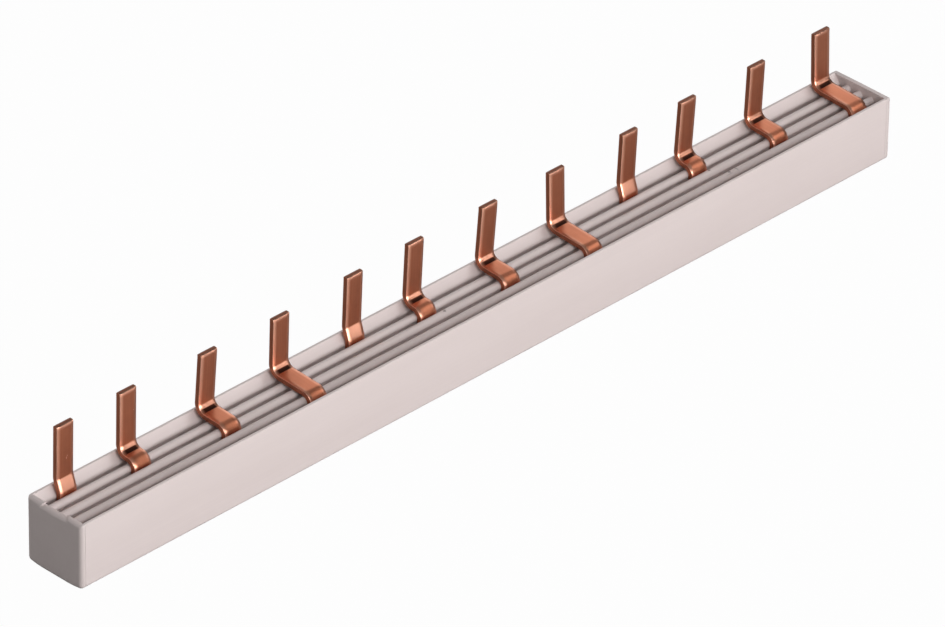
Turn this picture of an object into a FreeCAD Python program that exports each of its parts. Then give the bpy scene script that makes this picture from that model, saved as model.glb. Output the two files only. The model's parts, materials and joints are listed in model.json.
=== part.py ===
"""Four-pole comb busbar for twelve modules: copper combs in an extruded trough, closed by two end caps.

Frame: X along the busbar, Y to the rear, Z up, millimetres. The origin is on the base, at its centre.
The front wall faces -Y. The prongs of all four combs stand in one row beside the rear wall.
"""
import FreeCAD, Part
import math
import os
import Sketcher

# Driving dimensions: name, value, meaning
SIZES = [
    ("module_pitch", 17.8, "distance from one prong to the next, one module"),
    ("module_count", 12, "number of modules"),
    ("poles", 4, "number of combs and of slots"),
    ("end_margin", 4.6, "from the end of the busbar to the side of the first prong's place"),
    ("profile_height", 13.9, "height of the trough"),
    ("slot_pitch", 3.0, "distance between neighbouring slots"),
    ("outer_wall", 1.0, "from the outer half rib's middle plane to the trough's outer face"),
    ("wall_top", 0.6, "thickness of the outer walls at the top edge"),
    ("floor_thickness", 1.3, "thickness of the trough's floor"),
    ("rib_drop", 1.2, "from the top of the walls down to the crest of the ribs"),
    ("base_flat", 6.0, "width of the flat strip that the trough stands on"),
    ("base_radius", 19.0, "radius of the gentle curve beside the flat strip"),
    ("corner_radius", 1.0, "radius of the trough's lower edges"),
    ("top_edge_radius", 0.2, "rounding of the walls' top outer edges"),
    ("bar_thickness", 1.2, "thickness of the copper strip"),
    ("bar_height", 8.6, "height of the strip below the prongs"),
    ("slot_clearance", 0.35, "gap between the strip and each side of its slot"),
    ("mouth_clearance", 0.05, "gap between a prong and each rib head"),
    ("prong_width", 4.0, "width of a prong along the busbar"),
    ("prong_rise", 12.6, "from the top of the walls to the tips of the prongs"),
    ("prong_gap", 0.4, "gap between the prongs' rear face and the rear wall's top edge"),
    ("stub_bend_radius", 1.0, "inner radius of the bend where a prong leaves its slot"),
    ("leg_bend_radius", 1.45, "inner radius of the bend where a prong turns upright"),
    ("bend_rise", 1.95, "height above the walls at which a prong becomes upright"),
    ("run_angle", 3.0, "slope of the part of a prong that lies over the ribs"),
    ("jog_angle", 71.0, "slope of the short jog in the rear comb's prongs"),
    ("tip_bevel_height", 0.4, "height of the bevel on the front of a tip"),
    ("tip_bevel_depth", 0.35, "depth of the bevel on the front of a tip"),
    ("prong_edge_ease", 0.3, "bevel along the prongs' long edges"),
    ("cap_thickness", 1.1, "thickness of an end cap's plate"),
    ("cap_edge_radius", 0.85, "rounding round an end cap's outer face"),
    ("tongue_length", 1.5, "length of an end cap's tongues"),
    ("tongue_clearance", 0.1, "gap between a tongue and its slot"),
    ("recess_width", 6.2, "width of the shallow recess in an end cap's top edge"),
    ("recess_depth", 0.4, "depth of that recess"),
    ("comb_play", 1.7, "lengthwise play of a comb at each end"),
    ("shift_one", 0.75, "how far comb one has slid along its slot"),
    ("shift_two", -1.65, "how far comb two has slid along its slot"),
    ("shift_three", -0.5, "how far comb three has slid along its slot"),
    ("shift_four", -0.05, "how far comb four has slid along its slot"),
]

# Combs from the rear slot to the front one: node, slide, slope of its runs
COMBS = [
    ("copper_comb_1", "shift_one", "jog_angle"),
    ("copper_comb_2", "shift_two", "run_angle"),
    ("copper_comb_3", "shift_three", "run_angle"),
    ("copper_comb_4", "shift_four", "run_angle"),
]

# Derived dimensions, as the spreadsheet's names put together
PROFILE_WIDTH = "(sizes.poles * sizes.slot_pitch + 2 * sizes.outer_wall)"
BUSBAR_LENGTH = ("((sizes.module_count - 1) * sizes.module_pitch + sizes.prong_width"
                 " + 2 * sizes.end_margin)")
SLOT_WIDTH = "(sizes.bar_thickness + 2 * sizes.slot_clearance)"
HEAD_RADIUS = "((sizes.slot_pitch - sizes.bar_thickness) / 2 - sizes.mouth_clearance)"
HEAD_HEIGHT = f"(sizes.profile_height - sizes.rib_drop - {HEAD_RADIUS})"
LEG_PLACE = f"({PROFILE_WIDTH} / 2 - sizes.wall_top - sizes.prong_gap - sizes.bar_thickness / 2)"

value = {name: number for name, number, meaning in SIZES}
profile_width = value["poles"] * value["slot_pitch"] + 2 * value["outer_wall"]
prong_row = (value["module_count"] - 1) * value["module_pitch"] + value["prong_width"]
busbar_length = prong_row + 2 * value["end_margin"]
slot_width = value["bar_thickness"] + 2 * value["slot_clearance"]
head_radius = (value["slot_pitch"] - value["bar_thickness"]) / 2 - value["mouth_clearance"]
head_height = value["profile_height"] - value["rib_drop"] - head_radius
leg_place = profile_width / 2 - value["wall_top"] - value["prong_gap"] - value["bar_thickness"] / 2

NEAR = 1e-5  # two places nearer than this count as one

doc = FreeCAD.newDocument("comb_busbar")


def make_sheet():
    """The spreadsheet that holds the driving dimensions."""
    sheet = doc.addObject("Spreadsheet::Sheet", "sizes")
    for row, (name, number, meaning) in enumerate(SIZES, start=1):
        sheet.set(f"A{row}", name)
        sheet.set(f"B{row}", str(number))
        sheet.set(f"C{row}", meaning)
        sheet.setAlias(f"B{row}", name)
    doc.recompute()


def make_body(name):
    body = doc.addObject("PartDesign::Body", name)
    body.Label = name
    return body


def origin_feature(body, role):
    return next(item for item in body.Origin.OriginFeatures if item.Role == role)


def make_sketch(body, name, plane="YZ_Plane"):
    sketch = body.newObject("Sketcher::SketchObject", name)
    sketch.AttachmentSupport = (origin_feature(body, plane), [""])
    sketch.MapMode = "FlatFace"
    return sketch


def line(first, last):
    """A straight piece of an outline."""
    piece = Part.LineSegment(FreeCAD.Vector(*first, 0), FreeCAD.Vector(*last, 0))
    return piece, 1, 2


def arc(centre, radius, start, end):
    """An arc from one angle to another, in degrees; it runs clockwise when the end is the smaller."""
    circle = Part.Circle(FreeCAD.Vector(*centre, 0), FreeCAD.Vector(0, 0, 1), radius)
    low, high = sorted((math.radians(start), math.radians(end)))
    piece = Part.ArcOfCircle(circle, low, high)
    return (piece, 1, 2) if end > start else (piece, 2, 1)


def on_circle(centre, radius, angle):
    """The point of a circle at an angle in degrees."""
    turn = math.radians(angle)
    return centre[0] + radius * math.cos(turn), centre[1] + radius * math.sin(turn)


def add_outline(sketch, pieces, tangent=()):
    """Add the pieces in order as a closed outline, smooth after the pieces whose numbers are in tangent."""
    first = sketch.GeometryCount
    for piece, enter, leave in pieces:
        sketch.addGeometry(piece, False)
    for index, (piece, enter, leave) in enumerate(pieces):
        following = (index + 1) % len(pieces)
        kind = "Tangent" if index in tangent else "Coincident"
        next_enter = pieces[following][1]
        sketch.addConstraint(Sketcher.Constraint(kind, first + index, leave, first + following, next_enter))


def fix(sketch, kind, *edges):
    """A geometric constraint for each named edge, such as Vertical."""
    for edge in edges:
        sketch.addConstraint(Sketcher.Constraint(kind, edge))


def dimension(sketch, name, expression, kind, *place):
    """A named dimension bound to the spreadsheet. place ends with the number that the sketch starts from."""
    index = sketch.addConstraint(Sketcher.Constraint(kind, *place))
    sketch.renameConstraint(index, name)
    sketch.setExpression(f"Constraints.{name}", expression)


def pad_symmetric(body, sketch, name, length):
    """Pad a section half to each side of its plane."""
    pad = body.newObject("PartDesign::Pad", name)
    pad.Profile = sketch
    pad.SideType = "Symmetric"
    pad.setExpression("Length", length)
    return pad


def pad_along(body, sketch, name, length, backwards=False):
    """Pad a section to one side of its plane."""
    pad = body.newObject("PartDesign::Pad", name)
    pad.Profile = sketch
    pad.Reversed = backwards
    pad.setExpression("Length", length)
    return pad


def mirror(body, feature, name, plane="XZ_Plane"):
    mirrored = body.newObject("PartDesign::Mirrored", name)
    mirrored.Originals = [feature]
    mirrored.MirrorPlane = (origin_feature(body, plane), [""])
    body.Tip = mirrored
    return mirrored


def repeat(body, features, name, axis, length, count):
    """Repeat features along an axis of the body."""
    pattern = body.newObject("PartDesign::LinearPattern", name)
    pattern.Originals = features
    pattern.Direction = (origin_feature(body, axis), [""])
    pattern.setExpression("Length", length)
    pattern.setExpression("Occurrences", count)
    body.Tip = pattern
    return pattern


def edge_names(feature, chosen):
    """The names of a feature's edges for which chosen(edge) holds."""
    doc.recompute()
    return [f"Edge{i}" for i, edge in enumerate(feature.Shape.Edges, start=1) if chosen(edge)]


def round_edges(body, feature, name, radius, chosen):
    fillet = body.newObject("PartDesign::Fillet", name)
    fillet.Base = (feature, edge_names(feature, chosen))
    fillet.setExpression("Radius", radius)
    body.Tip = fillet


def bevel_edges(body, feature, name, size, chosen):
    chamfer = body.newObject("PartDesign::Chamfer", name)
    chamfer.Base = (feature, edge_names(feature, chosen))
    chamfer.setExpression("Size", size)
    body.Tip = chamfer


def half_base():
    """The rear half of the outer outline, from the middle of the base up to the top edge, as pieces."""
    half = profile_width / 2
    flat = value["base_flat"] / 2
    large = value["base_radius"]
    small = value["corner_radius"]
    across = half - small - flat
    centre_height = large - math.sqrt((large - small) ** 2 - across ** 2)
    turn = math.degrees(math.atan2(centre_height - large, across))
    large_centre = (flat, large)
    small_centre = (half - small, centre_height)
    return [
        line((0, 0), (flat, 0)),
        arc(large_centre, large, -90, turn),
        arc(small_centre, small, turn, 0),
        line((half, centre_height), (half, value["profile_height"])),
    ]


def bind_half_base(sketch):
    """Dimensions of the four pieces that half_base draws, which come first in the sketch."""
    fix(sketch, "Horizontal", 0)
    fix(sketch, "Vertical", 3)
    sketch.addConstraint(Sketcher.Constraint("Coincident", 0, 1, -1, 1))
    dimension(sketch, "flat", "sizes.base_flat / 2", "DistanceX", 0, 1, 0, 2, value["base_flat"] / 2)
    dimension(sketch, "curve", "sizes.base_radius", "Radius", 1, value["base_radius"])
    dimension(sketch, "corner", "sizes.corner_radius", "Radius", 2, value["corner_radius"])
    dimension(sketch, "half_width", f"{PROFILE_WIDTH} / 2", "DistanceX", -1, 1, 3, 2, profile_width / 2)
    dimension(sketch, "height", "sizes.profile_height", "DistanceY", -1, 1, 3, 2, value["profile_height"])


def make_profile():
    """The trough: floor and two outer walls with a half rib inside each, and the ribs between the slots."""
    body = make_body("insulating_profile")
    length = f"{BUSBAR_LENGTH} - 2 * sizes.cap_thickness"
    height = value["profile_height"]
    half = profile_width / 2
    top_inside = (half - value["wall_top"], height)
    head_centre = (half - value["outer_wall"], head_height)
    wall_inside = head_centre[0] - value["slot_pitch"] / 2 + slot_width / 2
    neck = math.degrees(math.acos((head_centre[0] - wall_inside) / head_radius))
    to_top = (top_inside[0] - head_centre[0], top_inside[1] - head_centre[1])
    lean = math.degrees(math.atan2(to_top[1], to_top[0]))
    touch = lean + math.degrees(math.acos(head_radius / math.hypot(*to_top)))
    touch_point = on_circle(head_centre, head_radius, touch)
    neck_point = on_circle(head_centre, head_radius, 180 + neck)
    floor = value["floor_thickness"]

    shell = make_sketch(body, "shell_section")
    pieces = half_base() + [
        line((half, height), top_inside),
        line(top_inside, touch_point),
        arc(head_centre, head_radius, touch, 180 + neck),
        line(neck_point, (wall_inside, floor)),
        line((wall_inside, floor), (0, floor)),
        line((0, floor), (0, 0)),
    ]
    add_outline(shell, pieces, tangent=(0, 1, 2, 5))
    bind_half_base(shell)
    fix(shell, "Horizontal", 4, 8)
    fix(shell, "Vertical", 7, 9)
    dimension(shell, "wall_top", "sizes.wall_top", "DistanceX", 4, 2, 4, 1, value["wall_top"])
    dimension(shell, "head_radius", HEAD_RADIUS, "Radius", 6, head_radius)
    dimension(shell, "head_place", f"{PROFILE_WIDTH} / 2 - sizes.outer_wall",
              "DistanceX", -1, 1, 6, 3, head_centre[0])
    dimension(shell, "head_height", HEAD_HEIGHT, "DistanceY", -1, 1, 6, 3, head_height)
    dimension(shell, "wall_inside", f"{PROFILE_WIDTH} / 2 - sizes.outer_wall - sizes.slot_pitch / 2"
              f" + {SLOT_WIDTH} / 2", "DistanceX", -1, 1, 7, 2, wall_inside)
    dimension(shell, "floor", "sizes.floor_thickness", "DistanceY", -1, 1, 8, 2, floor)
    half_shell = pad_symmetric(body, shell, "half_shell", length)
    whole_shell = mirror(body, half_shell, "whole_shell")

    rib = make_sketch(body, "rib_section")
    stem = (value["slot_pitch"] - slot_width) / 2
    dip = math.degrees(math.acos(stem / head_radius))
    right = on_circle((0, head_height), head_radius, -dip)
    left = on_circle((0, head_height), head_radius, 180 + dip)
    foot = floor / 2
    pieces = [
        line((-stem, foot), (stem, foot)),
        line((stem, foot), right),
        arc((0, head_height), head_radius, -dip, 180 + dip),
        line(left, (-stem, foot)),
    ]
    add_outline(rib, pieces)
    fix(rib, "Horizontal", 0)
    fix(rib, "Vertical", 1, 3)
    rib.addConstraint(Sketcher.Constraint("PointOnObject", 2, 3, -2))
    dimension(rib, "foot", "sizes.floor_thickness / 2", "DistanceY", -1, 1, 0, 1, foot)
    dimension(rib, "stem_right", f"(sizes.slot_pitch - {SLOT_WIDTH}) / 2", "DistanceX", -1, 1, 0, 2, stem)
    dimension(rib, "stem_left", f"(sizes.slot_pitch - {SLOT_WIDTH}) / 2", "DistanceX", 0, 1, -1, 1, stem)
    dimension(rib, "head_radius", HEAD_RADIUS, "Radius", 2, head_radius)
    dimension(rib, "head_height", HEAD_HEIGHT, "DistanceY", -1, 1, 2, 3, head_height)
    rib.setExpression("AttachmentOffset.Base.x", "-(sizes.poles - 2) / 2 * sizes.slot_pitch")
    first_rib = pad_symmetric(body, rib, "first_rib", length)
    ribs = repeat(body, [first_rib], "ribs", "Y_Axis", "(sizes.poles - 2) * sizes.slot_pitch",
                  "sizes.poles - 1")

    def top_outer_edge(edge):
        corners = [vertex.Point for vertex in edge.Vertexes]
        return all(abs(abs(p.y) - half) < NEAR and abs(p.z - height) < NEAR for p in corners)

    round_edges(body, ribs, "softened_top_edges", "sizes.top_edge_radius", top_outer_edge)
    return body


def make_cap(name, side):
    """An end cap: a plate with the trough's outline, and tongues in the slots. side is -1 or 1."""
    body = make_body(name)
    height = value["profile_height"]
    half = profile_width / 2
    inner_place = f"{side} * ({BUSBAR_LENGTH} / 2 - sizes.cap_thickness)"
    outwards = side < 0

    plate = make_sketch(body, "plate_outline")
    pieces = half_base() + [
        line((half, height), (0, height)),
        line((0, height), (0, 0)),
    ]
    add_outline(plate, pieces, tangent=(0, 1, 2))
    bind_half_base(plate)
    fix(plate, "Horizontal", 4)
    fix(plate, "Vertical", 5)
    plate.setExpression("AttachmentOffset.Base.z", inner_place)
    half_plate = pad_along(body, plate, "half_plate", "sizes.cap_thickness", outwards)
    whole_plate = mirror(body, half_plate, "whole_plate")

    tongue = make_sketch(body, "tongue_outline")
    low = value["floor_thickness"] + value["tongue_clearance"]
    wide = slot_width - 2 * value["tongue_clearance"]
    tall = value["bar_height"] - value["tongue_clearance"]
    pieces = [
        line((-wide / 2, low), (wide / 2, low)),
        line((wide / 2, low), (wide / 2, low + tall)),
        line((wide / 2, low + tall), (-wide / 2, low + tall)),
        line((-wide / 2, low + tall), (-wide / 2, low)),
    ]
    add_outline(tongue, pieces)
    fix(tongue, "Horizontal", 0, 2)
    fix(tongue, "Vertical", 1, 3)
    dimension(tongue, "low", "sizes.floor_thickness + sizes.tongue_clearance",
              "DistanceY", -1, 1, 0, 1, low)
    dimension(tongue, "half_left", f"{SLOT_WIDTH} / 2 - sizes.tongue_clearance",
              "DistanceX", 0, 1, -1, 1, wide / 2)
    dimension(tongue, "wide", f"{SLOT_WIDTH} - 2 * sizes.tongue_clearance",
              "DistanceX", 0, 1, 0, 2, wide)
    dimension(tongue, "tall", "sizes.bar_height - sizes.tongue_clearance",
              "DistanceY", 1, 1, 1, 2, tall)
    tongue.setExpression("AttachmentOffset.Base.z", inner_place)
    tongue.setExpression("AttachmentOffset.Base.x", "-(sizes.poles - 1) / 2 * sizes.slot_pitch")
    first_tongue = pad_along(body, tongue, "first_tongue", "sizes.tongue_length", not outwards)
    tongues = repeat(body, [first_tongue], "tongues", "Y_Axis", "(sizes.poles - 1) * sizes.slot_pitch",
                     "sizes.poles")

    recess = make_sketch(body, "recess_outline")
    width = value["recess_width"]
    depth = value["recess_depth"]
    pieces = [
        line((-width / 2, height - depth), (width / 2, height - depth)),
        line((width / 2, height - depth), (width / 2, height + depth)),
        line((width / 2, height + depth), (-width / 2, height + depth)),
        line((-width / 2, height + depth), (-width / 2, height - depth)),
    ]
    add_outline(recess, pieces)
    fix(recess, "Horizontal", 0, 2)
    fix(recess, "Vertical", 1, 3)
    dimension(recess, "floor", "sizes.profile_height - sizes.recess_depth",
              "DistanceY", -1, 1, 0, 1, height - depth)
    dimension(recess, "half_left", "sizes.recess_width / 2", "DistanceX", 0, 1, -1, 1, width / 2)
    dimension(recess, "wide", "sizes.recess_width", "DistanceX", 0, 1, 0, 2, width)
    dimension(recess, "tall", "2 * sizes.recess_depth", "DistanceY", 1, 1, 1, 2, 2 * depth)
    recess.setExpression("AttachmentOffset.Base.z", inner_place)
    cut = body.newObject("PartDesign::Pocket", "top_recess")
    cut.Profile = recess
    cut.Type = "ThroughAll"
    cut.SideType = "Symmetric"
    doc.recompute()
    if cut.Shape.Volume >= tongues.Shape.Volume:
        raise RuntimeError(f"the recess of {name} cuts nothing")

    outer_face = side * busbar_length / 2

    def outer_rim(edge):
        """Edges round the plate's outer face, apart from the one on the ground."""
        middle = edge.valueAt((edge.FirstParameter + edge.LastParameter) / 2)
        outside = all(abs(vertex.Point.x - outer_face) < NEAR for vertex in edge.Vertexes)
        return outside and middle.z > NEAR

    round_edges(body, cut, "softened_rim", "sizes.cap_edge_radius", outer_rim)
    return body


def folded_prong(step, slope):
    """Side view of a prong from its slot's middle plane, and the height at which its leg starts.

    The strip goes up, bends to the rear, runs over the ribs and bends up again into the leg.
    step is how far the leg stands behind the slot, and slope is the run's angle in degrees.
    """
    half = value["bar_thickness"] / 2
    stub_inner = value["stub_bend_radius"]
    leg_inner = value["leg_bend_radius"]
    stub_outer = stub_inner + value["bar_thickness"]
    leg_outer = leg_inner + value["bar_thickness"]
    top = value["profile_height"]
    reach = (stub_inner + leg_inner + 2 * half) * math.tan(math.radians(90 - slope) / 2)
    leg_centre = (step - half - leg_inner, top + value["bend_rise"])
    stub_centre = (half + stub_inner, leg_centre[1] - reach - step * math.tan(math.radians(slope)))
    foot = value["floor_thickness"] + value["bar_height"]
    tip = top + value["prong_rise"]
    bevel_low = tip - value["tip_bevel_height"]
    bevel_back = step - half + value["tip_bevel_depth"]
    pieces = [
        line((-half, foot), (-half, stub_centre[1])),
        arc(stub_centre, stub_outer, 180, 90 + slope),
        line(on_circle(stub_centre, stub_outer, 90 + slope), on_circle(leg_centre, leg_inner, slope - 90)),
        arc(leg_centre, leg_inner, slope - 90, 0),
        line((step - half, leg_centre[1]), (step - half, bevel_low)),
        line((step - half, bevel_low), (bevel_back, tip)),
        line((bevel_back, tip), (step + half, tip)),
        line((step + half, tip), (step + half, leg_centre[1])),
        arc(leg_centre, leg_outer, 0, slope - 90),
        line(on_circle(leg_centre, leg_outer, slope - 90), on_circle(stub_centre, stub_inner, 90 + slope)),
        arc(stub_centre, stub_inner, 90 + slope, 180),
        line((half, stub_centre[1]), (half, foot)),
        line((half, foot), (-half, foot)),
    ]
    return pieces, leg_centre[1]


def make_comb(name, order, shift, slope_name):
    """A comb: one copper strip on edge, and prongs folded to the rear. order counts from the rear slot."""
    body = make_body(name)
    slot_place = (value["poles"] - 1) / 2 * value["slot_pitch"] - order * value["slot_pitch"]
    slot = f"((sizes.poles - 1) / 2 - {order}) * sizes.slot_pitch"
    half = value["bar_thickness"] / 2
    floor = value["floor_thickness"]
    tall = value["bar_height"]

    strip = make_sketch(body, "strip_section")
    pieces = [
        line((-half, floor), (half, floor)),
        line((half, floor), (half, floor + tall)),
        line((half, floor + tall), (-half, floor + tall)),
        line((-half, floor + tall), (-half, floor)),
    ]
    add_outline(strip, pieces)
    fix(strip, "Horizontal", 0, 2)
    fix(strip, "Vertical", 1, 3)
    dimension(strip, "floor", "sizes.floor_thickness", "DistanceY", -1, 1, 0, 1, floor)
    dimension(strip, "half", "sizes.bar_thickness / 2", "DistanceX", 0, 1, -1, 1, half)
    dimension(strip, "thick", "sizes.bar_thickness", "DistanceX", 0, 1, 0, 2, 2 * half)
    dimension(strip, "tall", "sizes.bar_height", "DistanceY", 1, 1, 1, 2, tall)
    strip.setExpression("AttachmentOffset.Base.x", slot)
    strip.setExpression("AttachmentOffset.Base.z", f"sizes.{shift}")
    bar_length = f"{BUSBAR_LENGTH} - 2 * (sizes.cap_thickness + sizes.tongue_length + sizes.comb_play)"
    pad_symmetric(body, strip, "strip", bar_length)

    step = leg_place - slot_place
    slope = value[slope_name]
    side = make_sketch(body, "prong_side")
    pieces, leg_start = folded_prong(step, slope)
    add_outline(side, pieces, tangent=(0, 1, 2, 3, 7, 8, 9, 10))
    fix(side, "Vertical", 0, 4, 7, 11)
    fix(side, "Horizontal", 6, 12)
    for pair in ((1, 10), (3, 8)):
        side.addConstraint(Sketcher.Constraint("Coincident", pair[0], 3, pair[1], 3))
    dimension(side, "foot", "sizes.floor_thickness + sizes.bar_height",
              "DistanceY", -1, 1, 0, 1, floor + tall)
    dimension(side, "half", "sizes.bar_thickness / 2", "DistanceX", 0, 1, -1, 1, half)
    dimension(side, "thick", "sizes.bar_thickness", "DistanceX", 12, 2, 12, 1, 2 * half)
    dimension(side, "stub_bend", "sizes.stub_bend_radius", "Radius", 10, value["stub_bend_radius"])
    dimension(side, "leg_bend", "sizes.leg_bend_radius", "Radius", 3, value["leg_bend_radius"])
    dimension(side, "slope", f"sizes.{slope_name} * 1 deg", "Angle", 2, math.radians(slope))
    dimension(side, "step", f"{LEG_PLACE} - {slot} + sizes.bar_thickness / 2",
              "DistanceX", -1, 1, 6, 2, step + half)
    dimension(side, "leg_start", "sizes.profile_height + sizes.bend_rise",
              "DistanceY", -1, 1, 3, 3, leg_start)
    dimension(side, "tip", "sizes.profile_height + sizes.prong_rise",
              "DistanceY", -1, 1, 6, 1, value["profile_height"] + value["prong_rise"])
    dimension(side, "bevel_height", "sizes.tip_bevel_height",
              "DistanceY", 5, 1, 5, 2, value["tip_bevel_height"])
    dimension(side, "bevel_depth", "sizes.tip_bevel_depth",
              "DistanceX", 5, 1, 5, 2, value["tip_bevel_depth"])
    first_place = (f"-{BUSBAR_LENGTH} / 2 + sizes.end_margin"
                   f" + {order} * sizes.module_pitch + sizes.{shift}")
    side.setExpression("AttachmentOffset.Base.x", slot)
    side.setExpression("AttachmentOffset.Base.z", first_place)
    first_prong = pad_along(body, side, "first_prong", "sizes.prong_width")
    per_comb = "sizes.module_count / sizes.poles"
    prongs = repeat(body, [first_prong], "prongs", "X_Axis",
                    f"({per_comb} - 1) * sizes.poles * sizes.module_pitch", per_comb)

    def long_edge(edge):
        """Edges round a prong's two side faces, above the strip."""
        corners = [vertex.Point for vertex in edge.Vertexes]
        across = max(p.x for p in corners) - min(p.x for p in corners)
        lowest = min(p.z for p in corners)
        highest = max(p.z for p in corners)
        return across < NEAR and lowest > floor + tall - NEAR and highest > floor + tall + NEAR

    bevel_edges(body, prongs, "eased_edges", "sizes.prong_edge_ease", long_edge)
    return body


def write_parts(bodies):
    """Check every object of the document and write each piece to its own file."""
    doc.recompute()
    failed = [item.Name for item in doc.Objects if {"Invalid", "Error"} & set(item.State)]
    if failed:
        raise RuntimeError(f"failed objects: {failed}")
    for body in bodies:
        shape = body.Shape
        if shape.isNull() or not shape.isValid() or len(shape.Solids) != 1:
            raise RuntimeError(f"{body.Label} is not one valid solid")
    os.makedirs("parts", exist_ok=True)
    for body in bodies:
        body.Shape.exportStep(f"parts/{body.Label}.step")
        box = body.Shape.BoundBox
        print(f"{body.Label}: {body.Shape.Volume:.1f} mm3, X {box.XMin:.2f} to {box.XMax:.2f}, "
              f"Y {box.YMin:.2f} to {box.YMax:.2f}, Z {box.ZMin:.2f} to {box.ZMax:.2f}")


make_sheet()
pieces_made = [make_profile(), make_cap("end_cap_left", -1), make_cap("end_cap_right", 1)]
for order, (name, shift, slope_name) in enumerate(COMBS):
    pieces_made.append(make_comb(name, order, shift, slope_name))
write_parts(pieces_made)
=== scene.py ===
"""Looks of a four-pole comb busbar for twelve modules: grey trough, end caps and copper combs."""
import json
import math

import bpy
from bpy.props import FloatProperty, FloatVectorProperty, IntProperty, PointerProperty
from bpy.types import Operator, Panel, PropertyGroup
from mathutils import Matrix, Vector


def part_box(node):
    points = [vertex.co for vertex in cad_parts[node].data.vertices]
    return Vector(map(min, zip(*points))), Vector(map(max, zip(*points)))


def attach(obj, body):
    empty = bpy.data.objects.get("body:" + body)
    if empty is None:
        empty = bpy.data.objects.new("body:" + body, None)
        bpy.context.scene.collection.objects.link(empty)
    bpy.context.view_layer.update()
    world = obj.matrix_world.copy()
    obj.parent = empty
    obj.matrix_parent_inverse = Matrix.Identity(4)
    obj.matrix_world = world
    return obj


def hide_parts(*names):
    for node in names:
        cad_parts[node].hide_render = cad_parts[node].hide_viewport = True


bl_info = {
    "name": "Comb busbar",
    "version": (1, 0, 0),
    "blender": (4, 5, 0),
    "location": "3D View > Sidebar > Busbar",
    "description": "Models and finishes the pieces of a comb busbar round its fixed frame",
    "category": "Object",
}

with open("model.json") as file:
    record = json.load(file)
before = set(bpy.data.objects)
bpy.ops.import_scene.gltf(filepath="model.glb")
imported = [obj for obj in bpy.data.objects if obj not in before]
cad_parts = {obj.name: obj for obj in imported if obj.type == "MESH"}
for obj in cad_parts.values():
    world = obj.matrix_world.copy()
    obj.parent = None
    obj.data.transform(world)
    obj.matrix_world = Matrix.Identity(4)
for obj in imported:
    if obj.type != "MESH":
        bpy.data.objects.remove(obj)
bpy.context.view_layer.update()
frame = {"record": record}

MM = 0.001
X_AXIS = (1, 0, 0)
SLOTS = 4
SLOT_PITCH = 3.0 * MM
SIDE_TO_PLANE = math.pi / 2

# What the frame gives: outer boxes, and the middle of each prong's tip from left to right
TROUGH_LOW, TROUGH_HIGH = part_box("insulating_profile")
TIPS = [Vector(m["pos_m"]) for m in frame["record"]["mounts"] if m["name"].startswith("prong_")]

# Small differences between the prongs as they were stamped and bent, in millimetres from left to right:
# place along the busbar, lean of the tip to the front, extra length
PRONG_DIFFERENCES = (
    (0.00, 0.20, 0.21),
    (-0.17, 0.16, 0.32),
    (0.17, 0.67, -0.03),
    (0.30, 0.19, -0.89),
    (0.05, 0.31, -0.05),
    (0.03, 0.45, 0.32),
    (-0.25, 0.74, 0.25),
    (0.09, -0.32, -0.82),
    (0.10, 0.41, -0.20),
    (0.09, 0.60, 0.39),
    (0.08, 0.39, 0.02),
    (0.25, -0.34, -0.77),
)


def size(label, what, default):
    """A length in metres that a user may change; default is in millimetres."""
    return FloatProperty(name=label, description=what, default=default * MM, unit="LENGTH", precision=5)


def colour(label, what, default):
    return FloatVectorProperty(name=label, description=what, default=default, size=4, subtype="COLOR",
                               min=0, max=1)


def share(label, what, default):
    """A share from 0 to 1."""
    return FloatProperty(name=label, description=what, default=default, min=0, max=1, subtype="FACTOR")


def angle(label, what, degrees):
    return FloatProperty(name=label, description=what, default=math.radians(degrees), subtype="ANGLE")


class TroughSettings(PropertyGroup):
    """Sizes and colours of the plastic trough and its end caps."""
    wall_top: size("Wall top", "Thickness of the outer walls at the top edge", 0.6)
    outer_wall: size("Outer wall", "From the outer half rib's middle to the outer face", 1.0)
    floor: size("Floor", "Thickness of the floor", 1.3)
    slot_width: size("Slot width", "Width of a slot between the ribs' stems", 1.9)
    head_radius: size("Rib head", "Radius of a rib's round head", 0.85)
    rib_drop: size("Rib drop", "From the top of the walls to the crest of the ribs", 1.2)
    base_flat: size("Base flat", "Width of the flat strip under the base", 6.0)
    base_radius: size("Base curve", "Radius of the gentle curve beside the flat strip", 19.0)
    corner_radius: size("Lower edge", "Radius of the lower edges", 1.0)
    edge_radius: size("Top edge", "Rounding of the walls' top edges", 0.2)
    cap_plate: size("Cap plate", "Thickness of an end cap's plate", 1.1)
    cap_rim: size("Cap rim", "Rounding round the left cap's outer face", 0.85)
    right_rim: size("Right rim", "The same round the right cap's outer face", 0.35)
    cap_corner: size("Cap corner", "Rounding of an end cap's two upper corners", 0.25)
    seam: size("Seam", "Bevel along the seam between cap and trough", 0.05)
    recess_width: size("Recess width", "Width of the recess in the left cap's top edge", 6.2)
    recess_depth: size("Recess depth", "Depth of that recess", 0.4)
    tongue_gap: size("Tongue gap", "Gap between a tongue and its slot", 0.1)
    tongue_top: size("Tongue top", "Height of a tongue's upper edge", 9.9)
    plastic: colour("Plastic", "Colour of the extruded trough", (0.66, 0.575, 0.56, 1))
    cap_plastic: colour("Cap plastic", "Colour of the moulded caps", (0.63, 0.55, 0.535, 1))
    plastic_shade: colour("Plastic shade", "Colour of the plastic's faint blotches and lines",
                          (0.60, 0.515, 0.50, 1))
    # Dark colour for the specks and for the listed marks
    dark_spots: colour("Grime", "Colour of specks and small marks", (0.16, 0.11, 0.10, 1))


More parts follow.
